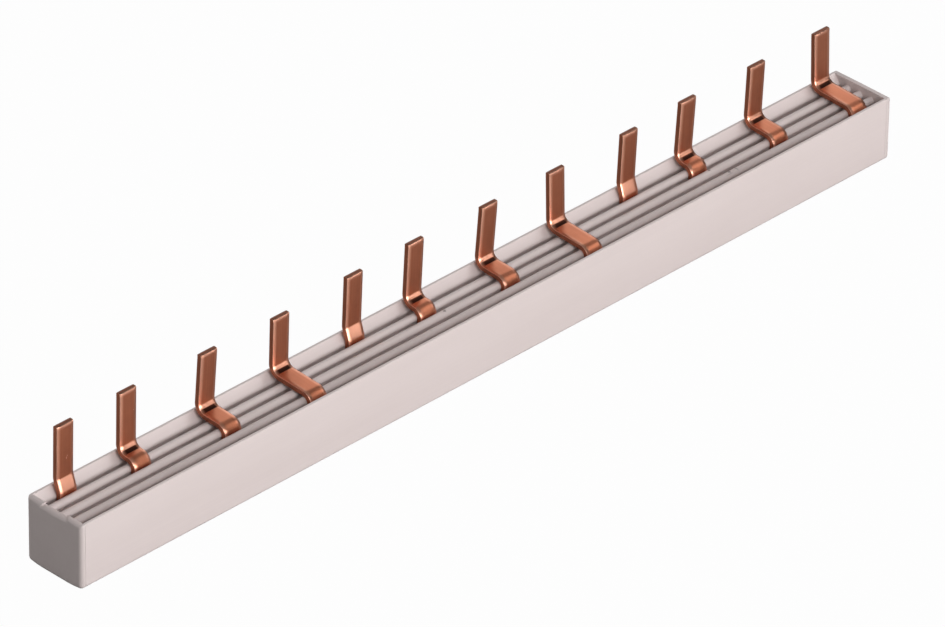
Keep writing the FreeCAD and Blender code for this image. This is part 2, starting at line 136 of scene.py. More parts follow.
class CombSettings(PropertyGroup):
    """Sizes and colours of the copper combs."""
    thickness: size("Strip", "Thickness of the copper strip", 1.2)
    width: size("Prong width", "Width of a prong along the busbar", 4.0)
    strip_top: size("Strip top", "Height of the strip's upper edge", 9.9)
    stub_bend: size("Stub bend", "Inner radius of the bend where a prong leaves its slot", 1.0)
    leg_bend: size("Leg bend", "Inner radius of the bend where a prong turns upright", 1.45)
    bend_rise: size("Bend rise", "Height above the walls at which a prong becomes upright", 1.95)
    edge_radius: size("Prong edges", "Rounding of the prongs' edges", 0.16)
    tip_radius: size("Tip", "Rounding of the front and rear edges of a prong's tip", 0.32)
    roll_width: size("Roll width", "Width of the rolled border that runs round a prong's faces", 0.85)
    roll_depth: size("Roll depth", "How far that border falls away at the edge", 0.12)
    # The bright border is part wear and part painted highlight
    bright_border_width: size("Bright border", "Width of the brighter border round a prong's faces", 0.9)
    run_angle: angle("Run slope", "Slope of the part over the ribs", 3)
    jog_angle: angle("Jog slope", "Slope of the rear comb's short jog", 71)
    bend_steps: IntProperty(name="Bend steps", description="Faces along one bend", default=16, min=3, max=32)
    copper: colour("Copper", "Colour of the bare copper", (0.53, 0.183, 0.098, 1))
    tarnish: colour("Tarnish", "Colour of the duller streaks", (0.30, 0.10, 0.055, 1))
    # Scratches are real; the bright border is part wear and part painted highlight; the foot is a painted
    # reflection
    polished_and_highlight: colour("Polished", "Colour of scratches, the bright border and the painted foot",
                     (0.93, 0.50, 0.36, 1))
    mirrored_dark: colour("Painted dark", "Stands for dark surroundings in the metal, not for oxide or dirt",
                          (0.035, 0.012, 0.008, 1))
    edge_shine: share("Border shine", "Strength of the bright border, part wear, part painted gloss", 0.9)
    painted_foot: share("Painted foot", "Strength of the painted bright reflection in the leg's bend", 0.5)
    painted_crease: share("Painted crease", "Strength of the painted dark reflection in the leg's bend", 1.0)
    painted_end: share("Painted end", "Darkness of a tip's end, at least partly a painted reflection", 0.75)
    grain: share("Rolling grain", "How far the rolling lines across a prong draw out its gloss", 0.75)


class StageSettings(PropertyGroup):
    """Camera and light."""
    azimuth: angle("Azimuth", "Direction of view, from the rear towards the right", 45.711)
    elevation: angle("Elevation", "How far the camera looks down", 32.596)
    roll: angle("Roll", "Turn of the camera about its view", 0.977)
    distance: size("Distance", "From the camera to the point that it aims at", 1689.7)
    aim: FloatVectorProperty(name="Aim", description="Point that the camera aims at", size=3, unit="LENGTH",
                             default=(-0.520 * MM, -0.325 * MM, 9.064 * MM))
    lens: FloatProperty(name="Lens", description="Focal length in millimetres", default=353.11, unit="CAMERA")
    floor_look: colour("Floor", "Colour of the floor in the light that it gives back", (0.30, 0.30, 0.30, 1))
    floor_white: share("White floor", "Share of plain white in the floor that the camera sees", 0.98)
    floor_gloss: share("Mirrored floor", "Share of plain white in the floor that metal mirrors", 0.2)
    floor_near: size("Near floor", "Up to this distance the floor mirrors that share only", 180)
    floor_far: size("Far floor", "From this distance on metal mirrors it white", 300)
    horizon: colour("Horizon", "Light from near the horizon", (0.10, 0.10, 0.10, 1))
    zenith: colour("Zenith", "Light from above", (0.20, 0.20, 0.20, 1))


# How far up the surface faces, from 0 to 1, where the painted reflections in the leg's bend start, reach
# their full strength, begin to fade and end
FOOT_FACING = (0.15, 0.30, 0.64, 0.70)
CREASE_FACING = (0.68, 0.72, 0.975, 0.99)

# Small marks on the plastic: place, half sizes and strength, in millimetres
PLASTIC_MARKS = (
    ((-7.6, -0.1, 12.7), (0.33, 0.27, 0.6), 0.85),
    ((62.3, 0.1, 12.7), (0.32, 0.26, 0.6), 0.9),
    ((64.6, -2.9, 12.7), (0.32, 0.32, 0.6), 0.8),
    ((66.4, -2.75, 12.7), (0.22, 0.75, 0.6), 0.45),
    ((64.3, -3.4, 12.5), (0.9, 0.12, 0.6), 0.25),
)

# Tiny bright scratches on the prongs' fronts, in the same way
COPPER_SCRATCHES = (
    ((-96.9, 5.0, 19.4), (0.10, 3.0, 0.30), 0.7),
    ((-96.7, 5.0, 19.8), (0.09, 3.0, 0.16), 0.7),
    ((-80.7, 5.0, 22.2), (0.10, 3.0, 0.14), 0.7),
)

# Softboxes: name, direction from the front to the right and upwards in degrees, distance in metres, width and
# height in metres, power in watts
SOFTBOXES = (
    ("left_softbox", -20, 32, 1.0, 0.50, 0.50, 5.6),
    ("low_softbox", 12, 6, 1.0, 0.34, 0.42, 6.0),
    ("strip_softbox", 36, 2, 1.0, 0.12, 0.30, 0.90),
    ("right_softbox", 52, 36, 1.0, 0.30, 0.30, 0.9),
    ("back_softbox", 135, 34, 1.0, 0.84, 0.50, 2.0),
    ("rear_softbox", 195, 8, 1.0, 0.42, 0.42, 4.0),
)


# Modelling in edit mode

def deselect_all():
    if bpy.context.object and bpy.context.object.mode != "OBJECT":
        bpy.ops.object.mode_set(mode="OBJECT")
    bpy.ops.object.select_all(action="DESELECT")


def select_faces(piece, wanted):
    """In edit mode, select just the faces for which wanted(face) holds."""
    select_parts(piece, "FACE", wanted)


def select_edges(piece, wanted):
    """In edit mode, select just the edges for which wanted(first place, second place) holds."""
    select_parts(piece, "EDGE", wanted)


def select_parts(piece, kind, wanted):
    bpy.ops.mesh.select_mode(type=kind)
    bpy.ops.mesh.select_all(action="DESELECT")
    bpy.ops.object.mode_set(mode="OBJECT")
    mesh = piece.data
    if kind == "FACE":
        for face in mesh.polygons:
            face.select = wanted(face)
    else:
        for edge in mesh.edges:
            edge.select = wanted(*(mesh.vertices[i].co for i in edge.vertices))
    bpy.ops.object.mode_set(mode="EDIT")


def start_outline(name, place):
    """A new object with a single point, in edit mode."""
    deselect_all()
    bpy.ops.mesh.primitive_plane_add(size=MM)
    piece = bpy.context.object
    piece.name = name
    bpy.ops.object.mode_set(mode="EDIT")
    bpy.ops.mesh.select_mode(type="VERT")
    bpy.ops.mesh.merge(type="CENTER")
    bpy.ops.transform.translate(value=place)
    return piece


class Pen:
    """Draws an outline in a plane across X: straight pieces by extrude, arcs by spin."""

    def __init__(self, name, x, y, z):
        self.piece = start_outline(name, (x, y, z))
        self.y, self.z = y, z

    def to(self, y, z):
        bpy.ops.mesh.extrude_region_move(TRANSFORM_OT_translate={"value": (0, y - self.y, z - self.z)})
        self.y, self.z = y, z

    def turn(self, centre, angle, steps):
        """An arc round a centre (y, z). A positive angle turns from the rear upwards."""
        bpy.ops.mesh.spin(steps=steps, angle=-angle, center=(0, *centre), axis=X_AXIS)
        y, z = self.y - centre[0], self.z - centre[1]
        self.y = centre[0] + y * math.cos(angle) - z * math.sin(angle)
        self.z = centre[1] + y * math.sin(angle) + z * math.cos(angle)


def draw_half_base(pen, settings, top, soft):
    """The rear half of the outer outline from the middle of the base up to the top edge, rounded by soft."""
    half = TROUGH_HIGH.y
    flat, large, small = settings.base_flat / 2, settings.base_radius, settings.corner_radius
    across = half - small - flat
    centre_z = large - math.sqrt((large - small) ** 2 - across ** 2)
    sweep = math.atan2(across, large - centre_z)
    pen.to(flat, 0)
    pen.turn((flat, large), sweep, 4)
    pen.turn((half - small, centre_z), SIDE_TO_PLANE - sweep, 8)
    pen.to(half, top - soft)
    if soft:
        pen.turn((half - soft, top - soft), SIDE_TO_PLANE, 4)


def finish_section(piece, length):
    """Extrude a drawn half outline along X, mirror it to the front and close the ends."""
    bpy.ops.mesh.select_all(action="SELECT")
    bpy.ops.mesh.extrude_region_move(TRANSFORM_OT_translate={"value": (length, 0, 0)})
    bpy.ops.object.mode_set(mode="OBJECT")
    mirror = piece.modifiers.new("Front half", "MIRROR")
    mirror.use_axis = (False, True, False)
    mirror.merge_threshold = MM / 1000
    bpy.ops.object.modifier_apply(modifier=mirror.name)
    bpy.ops.object.mode_set(mode="EDIT")
    ends = sorted({round(v.co.x, 7) for v in piece.data.vertices})
    for end in (ends[0], ends[-1]):
        select_edges(piece, lambda a, b: abs(a.x - end) < MM / 1000 and abs(b.x - end) < MM / 1000)
        bpy.ops.mesh.edge_face_add()
    bpy.ops.mesh.select_all(action="SELECT")
    bpy.ops.mesh.normals_make_consistent(inside=False)


def close_piece(piece, node, material, smooth_angle=35):
    """Shade a finished piece, give it its material and tie it to the frame."""
    bpy.ops.object.mode_set(mode="OBJECT")
    deselect_all()
    piece.select_set(True)
    bpy.context.view_layer.objects.active = piece
    bpy.ops.object.shade_smooth_by_angle(angle=math.radians(smooth_angle))
    piece.data.materials.clear()
    piece.data.materials.append(material)
    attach(piece, "root")
    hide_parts(node)


# Materials

class Wiring:
    """Adds nodes to a material or a group and links them."""

    def __init__(self, tree):
        self.tree = tree

    def add(self, kind, values=None, **settings):
        """A node with its settings. values holds a plain value or another node's socket for each input."""
        node = self.tree.nodes.new("ShaderNode" + kind)
        for name, setting in settings.items():
            setattr(node, name, setting)
        self.feed(node, values or {})
        return node

    def feed(self, node, values):
        for name, value in values.items():
            if isinstance(value, bpy.types.NodeSocket):
                self.tree.links.new(value, node.inputs[name])
            else:
                node.inputs[name].default_value = value

    def math(self, operation, first, second=0.0, clamp=False):
        node = self.add("Math", {0: first, 1: second}, operation=operation, use_clamp=clamp)
        return node.outputs["Value"]

    def blend(self, share, first, second, kind="MIX"):
        """Two colours mixed by a share from 0 to 1."""
        node = self.add("Mix", {0: share, 6: first, 7: second}, data_type="RGBA", blend_type=kind)
        return node.outputs[2]

    def spread(self, value, low, high, new_low=0.0, new_high=1.0):
        """A value moved from one range to another, and kept in it."""
        node = self.add("MapRange", {"Value": value, "From Min": low, "From Max": high,
                                     "To Min": new_low, "To Max": new_high})
        return node.outputs["Result"]

    def band(self, value, start, full, fading, end):
        """1 where the value lies between full and fading, falling to 0 at start and end."""
        return self.math("SUBTRACT", self.spread(value, start, full), self.spread(value, fading, end))

    def effect(self, group, values):
        """A shared effect, placed with its own values; its one output."""
        node = self.tree.nodes.new("ShaderNodeGroup")
        node.node_tree = group
        self.feed(node, values)
        return node.outputs[0]


def new_effect(name, inputs, output):
    """An empty shared effect with named inputs, and the wiring to fill it."""
    tree = bpy.data.node_groups.new(name, "ShaderNodeTree")
    for label, default in inputs.items():
        kind = "NodeSocketVector" if isinstance(default, tuple) else "NodeSocketFloat"
        tree.interface.new_socket(label, in_out="INPUT", socket_type=kind).default_value = default
    tree.interface.new_socket(output, in_out="OUTPUT", socket_type="NodeSocketFloat")
    inside = tree.nodes.new("NodeGroupInput").outputs
    result = tree.nodes.new("NodeGroupOutput").inputs[0]
    return tree, Wiring(tree), inside, result


def streaks_effect():
    """Soft noise on the object's own coordinates. Waves per metre along each axis draw it out into lines."""
    tree, wires, inside, result = new_effect("streaks", {"Waves": (100, 100, 100), "Detail": 2.0, "Low": 0.3,
                                                         "High": 0.7}, "Value")
    place = wires.add("TexCoord").outputs["Object"]
    drawn = wires.add("VectorMath", {0: place, 1: inside["Waves"]}, operation="MULTIPLY").outputs["Vector"]
    noise = wires.add("TexNoise", {"Vector": drawn, "Scale": 1.0, "Detail": inside["Detail"],
                                   "Roughness": 0.6})
    value = wires.add("MapRange", {"Value": noise.outputs["Fac"], "From Min": inside["Low"],
                                   "From Max": inside["High"]})
    wires.tree.links.new(value.outputs["Result"], result)
    return tree


def specks_effect():
    """Small dots, one in each cell of the chosen share of cells."""
    tree, wires, inside, result = new_effect("specks", {"Cells": 300.0, "Size": 0.15, "Share": 0.2}, "Mask")
    place = wires.add("TexCoord").outputs["Object"]
    cells = wires.add("TexVoronoi", {"Vector": place, "Scale": inside["Cells"]})
    parts = wires.add("SeparateColor", {"Color": cells.outputs["Color"]})
    chosen = wires.math("LESS_THAN", parts.outputs["Red"], inside["Share"])
    reach = wires.math("MULTIPLY", inside["Size"], parts.outputs["Green"])
    near = wires.math("SUBTRACT", reach, cells.outputs["Distance"])
    dot = wires.math("DIVIDE", near, wires.math("MULTIPLY", inside["Size"], 0.3), clamp=True)
    wires.tree.links.new(wires.math("MULTIPLY", dot, chosen), result)
    return tree


def mark_effect():
    """One mark round a place, with an uneven edge. Waves sets how narrow it is along each axis."""
    inputs = {"Place": (0, 0, 0), "Waves": (2000, 2000, 2000)}
    tree, wires, inside, result = new_effect("mark", inputs, "Mask")
    place = wires.add("TexCoord").outputs["Object"]
    off = wires.add("VectorMath", {0: place, 1: inside["Place"]}, operation="SUBTRACT").outputs["Vector"]
    drawn = wires.add("VectorMath", {0: off, 1: inside["Waves"]}, operation="MULTIPLY").outputs["Vector"]
    length = wires.add("VectorMath", {0: drawn}, operation="LENGTH").outputs["Value"]
    noise = wires.add("TexNoise", {"Vector": drawn, "Scale": 1.3, "Detail": 1.0}).outputs["Fac"]
    wires.tree.links.new(wires.spread(wires.math("ADD", length, noise), 1.7, 1.1), result)
    return tree


def effect(name):
    """A shared effect, made the first time that it is asked for."""
    makers = {"streaks": streaks_effect, "specks": specks_effect, "mark": mark_effect}
    return bpy.data.node_groups.get(name) or makers[name]()


def marks(wires, places, start):
    """The strongest at each point of a value and of marks given by place, half sizes and strength."""
    strongest = start
    for place, half_sizes, strength in places:
        mark = wires.effect(effect("mark"), {"Place": [v * MM for v in place],
                                             "Waves": [1 / (v * MM) for v in half_sizes]})
        strongest = wires.math("MAXIMUM", strongest, wires.math("MULTIPLY", mark, strength))
    return strongest


def new_material(name):
    material = bpy.data.materials.new(name)
    material.use_nodes = True
    wires = Wiring(material.node_tree)
    return material, wires, material.node_tree.nodes["Principled BSDF"]


def trough_material(s):
    """Extruded plastic: faint lines along it, fine grain, soft blotches and a few specks and marks."""
    material, wires, shader = new_material("extruded_plastic")
    blotches = wires.effect(effect("streaks"), {"Waves": (25, 160, 160)})
    lines = wires.effect(effect("streaks"), {"Waves": (8, 2600, 2600), "Detail": 3.0})
    grain = wires.effect(effect("streaks"), {"Waves": (7000, 7000, 7000), "Detail": 1.0})
    specks = wires.effect(effect("specks"), {"Cells": 160.0, "Size": 0.03, "Share": 0.12})
    base = wires.blend(wires.spread(blotches, 0, 1, 0, 0.35), s.plastic, s.plastic_shade)
    base = wires.blend(wires.spread(lines, 0, 1, 0, 0.25), base, s.plastic_shade)
    dark = marks(wires, PLASTIC_MARKS, wires.spread(specks, 0, 1, 0, 0.55))
    base = wires.blend(dark, base, s.dark_spots)
    relief = wires.math("ADD", wires.math("MULTIPLY", lines, 0.6), wires.math("MULTIPLY", grain, 0.4))
    relief = wires.math("SUBTRACT", relief, dark)
    bump = wires.add("Bump", {"Height": relief, "Strength": 0.5, "Distance": 0.02 * MM})
    wires.feed(shader, {"Base Color": base, "Roughness": wires.spread(grain, 0, 1, 0.42, 0.54),
                        "Normal": bump.outputs["Normal"]})
    return material


def cap_material(s):
    """Moulded plastic: fine even grain and faint cloudiness from the mould."""
    material, wires, shader = new_material("moulded_plastic")
    clouds = wires.effect(effect("streaks"), {"Waves": (220, 220, 220), "Detail": 3.0})
    grain = wires.effect(effect("streaks"), {"Waves": (9000, 9000, 9000), "Detail": 1.0})
    specks = wires.effect(effect("specks"), {"Cells": 260.0, "Size": 0.03, "Share": 0.1})
    base = wires.blend(wires.spread(clouds, 0, 1, 0, 0.5), s.cap_plastic, s.plastic_shade)
    base = wires.blend(wires.math("MULTIPLY", specks, 0.4), base, s.dark_spots)
    bump = wires.add("Bump", {"Height": grain, "Strength": 0.5, "Distance": 0.015 * MM})
    wires.feed(shader, {"Base Color": base, "Roughness": wires.spread(clouds, 0, 1, 0.45, 0.55),
                        "Normal": bump.outputs["Normal"]})
    return material


def painted_reflections(wires, s, upwards, place, rounding):
    """What the leg's bend and the tip mirror, painted as colour: a bright foot, a dark crease and a dark end.

    These aren't marks on the metal. They stay in place from every side, which real reflections don't.
    """
    bend_y, tip_z = TIPS[0].y - s.leg_bend - s.thickness, TIPS[0].z - 2 * MM
    in_bend = wires.spread(place["Y"], bend_y, bend_y + MM / 10)
    at_tip = wires.spread(place["Z"], tip_z, tip_z + MM / 10)
    foot = wires.math("MULTIPLY", wires.band(upwards, *FOOT_FACING), in_bend)
    off_border = wires.math("MULTIPLY", in_bend, wires.math("SUBTRACT", 1.0, rounding))
    crease = wires.math("MULTIPLY", wires.band(upwards, *CREASE_FACING), off_border)
    end = wires.math("MULTIPLY", wires.spread(upwards, 0.3, 0.7), at_tip)
    dark = wires.math("MAXIMUM", wires.math("MULTIPLY", crease, s.painted_crease),
                      wires.math("MULTIPLY", end, s.painted_end))
    return wires.math("MULTIPLY", foot, s.painted_foot), dark


def copper_material(s):
    """Bare copper: lines along the prongs, tarnish in patches, dull sheared sides, a bright border that is
    part wear and part painted highlight, and painted reflections in the bends and on the tips.
    """
    material, wires, shader = new_material("bright_copper")
    lines = wires.effect(effect("streaks"), {"Waves": (4200, 90, 90), "Detail": 3.0})
    patches = wires.effect(effect("streaks"), {"Waves": (160, 190, 190), "Detail": 4.0,
                                               "Low": 0.4, "High": 0.75})
    grain = wires.effect(effect("streaks"), {"Waves": (6000, 6000, 6000), "Detail": 2.0})
    specks = wires.effect(effect("specks"), {"Cells": 420.0, "Size": 0.1, "Share": 0.04})
    scratches = marks(wires, COPPER_SCRATCHES, wires.math("MULTIPLY", specks, 0.35))
    facing = wires.add("SeparateXYZ", {"Vector": wires.add("TexCoord").outputs["Normal"]}).outputs
    place = wires.add("SeparateXYZ", {"Vector": wires.add("TexCoord").outputs["Object"]}).outputs
    sheared = wires.spread(wires.math("ABSOLUTE", facing["X"]), 0.8, 0.98)
    rounding = wires.add("Attribute", attribute_name="rounding").outputs["Fac"]
    foot, dark = painted_reflections(wires, s, facing["Z"], place, rounding)
    dull = wires.math("ADD", wires.math("MULTIPLY", lines, 0.22), wires.math("MULTIPLY", patches, 0.3))
    dull = wires.math("ADD", dull, wires.math("MULTIPLY", sheared, 0.35), clamp=True)
    dull = wires.math("MULTIPLY", dull, wires.math("SUBTRACT", 1.0, rounding))
    base = wires.blend(dull, s.copper, s.tarnish)
    # Painted highlight on the bright border (part wear), with real scratches and the painted foot
    bright = wires.math("MAXIMUM", wires.math("MULTIPLY", rounding, s.edge_shine),
                        wires.math("MAXIMUM", scratches, foot))
    base = wires.blend(bright, base, s.polished_and_highlight)
    # Painted reflection: the dark crease in the leg's bend and the dark tip ends
    base = wires.blend(dark, base, s.mirrored_dark)
    roughness = wires.math("ADD", wires.spread(patches, 0, 1, 0.33, 0.37),
                           wires.math("MULTIPLY", sheared, 0.10))
    roughness = wires.math("SUBTRACT", roughness, wires.math("MULTIPLY", rounding, 0.06))
    along_prong = wires.add("VectorMath", {0: wires.add("TexCoord").outputs["Normal"], 1: X_AXIS},
                            operation="CROSS_PRODUCT").outputs["Vector"]
    relief = wires.math("ADD", lines, wires.math("MULTIPLY", grain, 0.5))
    bump = wires.add("Bump", {"Height": relief, "Strength": 0.4, "Distance": 0.006 * MM})
    wires.feed(shader, {"Base Color": base, "Metallic": 1.0, "Roughness": roughness, "Anisotropic": s.grain,
                        "Tangent": along_prong, "Normal": bump.outputs["Normal"]})
    return material


# The pieces

class BUSBAR_OT_trough(Operator):
    """Model the extruded trough with its ribs and slots"""
    bl_idname = "busbar.trough"
    bl_label = "Trough"

    def execute(self, context):
        s = context.scene.busbar_trough
        top = TROUGH_HIGH.z
        head_z = top - s.rib_drop - s.head_radius
        stem = (SLOT_PITCH - s.slot_width) / 2
        dip = math.acos(stem / s.head_radius)
        inner_y = TROUGH_HIGH.y - s.wall_top
        half_rib_y = TROUGH_HIGH.y - s.outer_wall
        pen = Pen("trough", TROUGH_LOW.x, 0, 0)
        draw_half_base(pen, s, top, s.edge_radius)
        pen.to(inner_y, top)

        to_top = Vector((inner_y - half_rib_y, top - head_z))
        touch = math.atan2(to_top.y, to_top.x) + math.acos(s.head_radius / to_top.length)
        pen.to(half_rib_y + s.head_radius * math.cos(touch), head_z + s.head_radius * math.sin(touch))
        pen.turn((half_rib_y, head_z), math.pi + dip - touch, 14)
        pen.to(pen.y, s.floor)
        for place in (SLOT_PITCH, 0):
            pen.to(place + stem, s.floor)
            pen.to(place + stem, head_z - s.head_radius * math.sin(dip))
            if place:
                pen.turn((place, head_z), math.pi + 2 * dip, 24)
                pen.to(place - stem, s.floor)
            else:
                pen.turn((place, head_z), SIDE_TO_PLANE + dip, 12)
        finish_section(pen.piece, TROUGH_HIGH.x - TROUGH_LOW.x)
        close_piece(pen.piece, "insulating_profile", trough_material(s))
        return {"FINISHED"}


class BUSBAR_OT_end_caps(Operator):
    """Model the two moulded end caps"""
    bl_idname = "busbar.end_caps"
    bl_label = "End caps"

    def execute(self, context):
        s = context.scene.busbar_trough
        material = cap_material(s)
        for node, side in (("end_cap_left", -1), ("end_cap_right", 1)):
            self.model(s, node, side, material)
        return {"FINISHED"}

    def model(self, s, node, side, material):
        low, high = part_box(node)
        outer, deepest = (low.x, high.x) if side < 0 else (high.x, low.x)
        inner = outer - side * s.cap_plate
        half, top = high.y, high.z
        rim = s.cap_rim if side < 0 else s.right_rim
        pen = Pen(node.replace("end_cap", "cap"), inner, 0, 0)
        draw_half_base(pen, s, top, 0)
        if side < 0:
            pen.to(s.recess_width / 2, top)
            pen.to(s.recess_width / 2, top - s.recess_depth)
            pen.to(0, top - s.recess_depth)
        else:
            pen.to(0, top)
        finish_section(pen.piece, side * s.cap_plate)
        piece = pen.piece
        tiny = MM / 1000

        select_edges(piece, lambda a, b: abs(a.x - outer) < tiny and abs(b.x - outer) < tiny)
        bpy.ops.mesh.bevel(offset=rim, offset_type="OFFSET", segments=8, clamp_overlap=False)
        select_edges(piece, lambda a, b: all(abs(half - abs(p.y) - top + p.z) < tiny and p.z > top - rim * 0.6
                                             for p in (a, b)))
        bpy.ops.mesh.bevel(offset=s.cap_corner, offset_type="OFFSET", segments=4, clamp_overlap=True)
        select_edges(piece, lambda a, b: abs(a.x - inner) < tiny and abs(b.x - inner) < tiny)
        bpy.ops.mesh.bevel(offset=s.seam, offset_type="OFFSET", segments=1, clamp_overlap=True)

        # the tongues grow from the inner face, cut along their outlines first
        half_tongue = s.slot_width / 2 - s.tongue_gap
        middles = [(i - (SLOTS - 1) / 2) * SLOT_PITCH for i in range(SLOTS)]
        for y in [middle + step for middle in middles for step in (-half_tongue, half_tongue)]:
            self.cut_inner_face(piece, inner, (0, y, 0), (0, 1, 0))
        for z in (s.floor + s.tongue_gap, s.tongue_top):
            self.cut_inner_face(piece, inner, (0, 0, z), (0, 0, 1))
        select_faces(piece, lambda face: abs(face.center.x - inner) < tiny and face.normal.x * side < -0.9
                     and s.floor < face.center.z < s.tongue_top
                     and min(abs(face.center.y - middle) for middle in middles) < half_tongue)
        bpy.ops.mesh.extrude_region_move(TRANSFORM_OT_translate={"value": (deepest - inner, 0, 0)})
        select_edges(piece, lambda a, b: abs(a.x - deepest) < tiny and abs(b.x - deepest) < tiny)
        bpy.ops.mesh.bevel(offset=s.tongue_gap, offset_type="OFFSET", segments=2, clamp_overlap=True)
        close_piece(piece, node, material)

    def cut_inner_face(self, piece, inner, place, across):
        select_faces(piece, lambda face: abs(face.center.x - inner) < MM / 1000 and abs(face.normal.x) > 0.9)
        bpy.ops.mesh.bisect(plane_co=place, plane_no=across)


class BUSBAR_OT_combs(Operator):
    """Model the four copper combs with their folded prongs"""
    bl_idname = "busbar.combs"
    bl_label = "Combs"

    def execute(self, context):
        s = context.scene.busbar_combs
        material = copper_material(s)
        for order in range(SLOTS):
            self.model(s, order, material)
        return {"FINISHED"}

    def model(self, s, order, material):
        node = f"copper_comb_{order + 1}"
        low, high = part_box(node)
        slot_y = (SLOTS - 1) / 2 * SLOT_PITCH - order * SLOT_PITCH
        differences = [[part * MM for part in row] for row in PRONG_DIFFERENCES[order::SLOTS]]
        tips = [tip + Vector((row[0], 0, 0)) for tip, row in zip(TIPS[order::SLOTS], differences)]
        half = s.thickness / 2
        roll_steps = [s.roll_width * share for share in (0, 0.3, 0.56, 0.78, 1)]

        deselect_all()
        middle = ((low.x + high.x) / 2, slot_y, (low.z + s.strip_top) / 2)
        bpy.ops.mesh.primitive_cube_add(size=1, location=middle,
                                        scale=(high.x - low.x, s.thickness, s.strip_top - low.z))
        piece = bpy.context.object
        piece.name = f"comb_{order + 1}"
        bpy.ops.object.transform_apply(location=True, rotation=True, scale=True)
        bpy.ops.object.mode_set(mode="EDIT")
        for tip in tips:
            for side in (-1, 1):
                for step in roll_steps:
                    bpy.ops.mesh.select_all(action="SELECT")
                    bpy.ops.mesh.bisect(plane_co=(tip.x + side * (s.width / 2 - step), 0, 0), plane_no=X_AXIS)

        def under_prong(place):
            return any(abs(place.x - tip.x) < s.width / 2 for tip in tips)

        select_faces(piece, lambda face: face.normal.z > 0.9 and under_prong(face.center))
        step = tips[0].y - slot_y
        slope = s.jog_angle if order == 0 else s.run_angle
        turn = SIDE_TO_PLANE - slope
        stub_middle, leg_middle = s.stub_bend + half, s.leg_bend + half
        leg_z = TROUGH_HIGH.z + s.bend_rise
        stub_z = leg_z - (stub_middle + leg_middle) * math.tan(turn / 2) - step * math.tan(slope)
        run = step - (stub_middle + leg_middle) * (1 - math.sin(slope))
        shoulder = s.strip_top + s.roll_depth
        self.lift(shoulder - s.strip_top)
        bpy.ops.transform.resize(value=(1, 1 - s.roll_depth / half, 1), center_override=(0, slot_y, shoulder))
        self.lift(stub_z - shoulder)
        stub_centre = (0, slot_y + stub_middle, stub_z)
        leg_centre = (0, slot_y + step - leg_middle, leg_z)
        bpy.ops.mesh.spin(steps=s.bend_steps, angle=turn, center=stub_centre, axis=X_AXIS)
        bpy.ops.mesh.extrude_region_move(TRANSFORM_OT_translate={"value": (0, run, run * math.tan(slope))})
        bpy.ops.mesh.spin(steps=s.bend_steps, angle=-turn, center=leg_centre, axis=X_AXIS)
        roll_z = tips[0].z - s.roll_width
        self.lift(roll_z - leg_z)
        for step, next_step in reversed(list(zip(roll_steps, roll_steps[1:]))):
            self.lift(next_step - step)
        for tip, (place, lean, longer) in zip(tips, differences):
            select_faces(piece, lambda face: face.center.z > roll_z and abs(face.center.x - tip.x) < s.width)
            bpy.ops.transform.translate(value=(0, -lean, longer))

        bpy.ops.mesh.select_all(action="SELECT")
        bpy.ops.mesh.remove_doubles(threshold=MM / 1000)
        bpy.ops.mesh.normals_make_consistent(inside=False)
        upper_ends = [Vector((tip.x, 0, roll_z + row[2])) for tip, row in zip(tips, differences)]
        self.crown(s, piece, upper_ends, shoulder)
        self.round_edges(s, piece, tips, [tip.z + row[2] for tip, row in zip(tips, differences)])
        close_piece(piece, node, material, smooth_angle=30)

    def crown(self, s, piece, upper_ends, shoulder):
        """Raise the middle of the prongs' faces, so that a border rolls down to their sides and tips."""
        reach = s.width / 2 - s.roll_width

        def is_middle(face):
            top = max(piece.data.vertices[i].co.z for i in face.vertices)
            return (shoulder + s.roll_width < face.center.z and abs(face.normal.x) < 0.5
                    and any(abs(face.center.x - end.x) < reach and top < end.z + MM / 100
                            for end in upper_ends))

        select_faces(piece, is_middle)
        bpy.ops.transform.shrink_fatten(value=s.roll_depth, use_proportional_edit=True,
                                        proportional_edit_falloff="INVERSE_SQUARE",
                                        proportional_size=s.roll_width)

    def round_edges(self, s, piece, tips, tops):
        """Round the prongs' edges and mark the rounding, where the copper is painted brighter: part wear,
        part painted highlight.
        """
        tiny = MM / 1000
        side_width = s.thickness - 2 * s.roll_depth

        def nearest(place):
            return min(zip(tips, tops), key=lambda pair: abs(pair[0].x - place.x))

        def is_tip_edge(a, b):
            top = nearest(a)[1]
            return all(abs(p.z - top) < tiny for p in (a, b)) and abs(a.y - b.y) < tiny

        def is_long_edge(a, b):
            tip = nearest(a)[0]
            return (max(a.z, b.z) > s.strip_top + 2 * s.roll_depth and abs(a.x - b.x) < tiny
                    and all(abs(abs(p.x - tip.x) - s.width / 2) < tiny for p in (a, b))
                    and abs((a - b).length - side_width) > MM / 100)

        select_edges(piece, is_tip_edge)
        bpy.ops.mesh.bevel(offset=s.tip_radius, offset_type="OFFSET", segments=4, profile=0.5,
                           clamp_overlap=True)
        select_edges(piece, is_long_edge)
        bpy.ops.mesh.bevel(offset=s.edge_radius, offset_type="OFFSET", segments=5, profile=0.5,
                           clamp_overlap=True)
        bpy.ops.object.mode_set(mode="OBJECT")
        mesh = piece.data

        def bright_border_share(place):
            """Share of the bright border, part wear and part painted highlight: 0 in the middle of a face and
            on the sheared sides, up to 1 on the rounded edges.
            """
            tip, top = nearest(place)
            inwards = min(s.width / 2 - abs(place.x - tip.x), top - place.z)
            if inwards < tiny or place.z < s.strip_top + 2 * s.roll_depth:
                return 0.0
            return max(0.0, 1 - inwards / s.bright_border_width) ** 1.2

        rounding = mesh.attributes.new("rounding", "FLOAT", "POINT")
        rounding.data.foreach_set("value", [bright_border_share(vertex.co) for vertex in mesh.vertices])

    def lift(self, rise):
        bpy.ops.mesh.extrude_region_move(TRANSFORM_OT_translate={"value": (0, 0, rise)})


